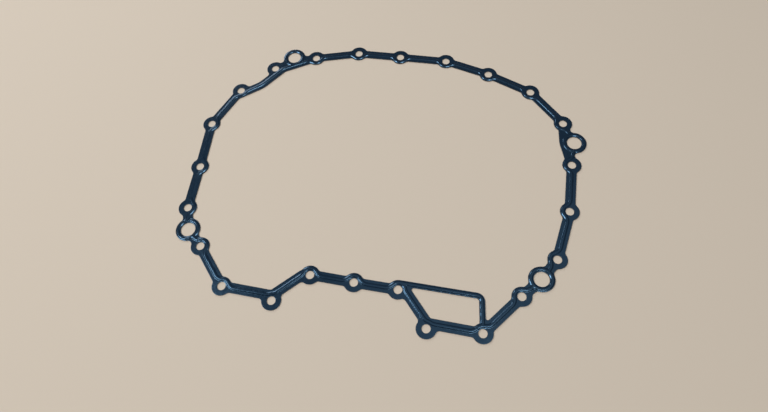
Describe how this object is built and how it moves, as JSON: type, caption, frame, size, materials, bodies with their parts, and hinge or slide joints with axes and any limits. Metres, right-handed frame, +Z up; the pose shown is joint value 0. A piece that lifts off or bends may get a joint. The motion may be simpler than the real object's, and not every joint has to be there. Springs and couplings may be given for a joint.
{
  "type": "clutch cover gasket",
  "caption": "Flat rubber-coated steel gasket that follows the rim of a clutch cover, with round bolt ears, larger port ears, a raised sealing bead and a framed window.",
  "frame": {"origin": "middle of the gasket's box, on the flat face that it rests on", "axes": "+X along the longest extent, +Y across the sheet towards the shoulder with the three close holes, +Z up, out of the face with the bead"},
  "size_m": [0.4554, 0.3764, 0.0016],
  "materials": {
    "coated_sheet": "semi-gloss blue-black rubber coating on a steel sheet"
  },
  "bodies": {
    "root": {"gasket": "coated_sheet"}
  },
  "joints": []
}
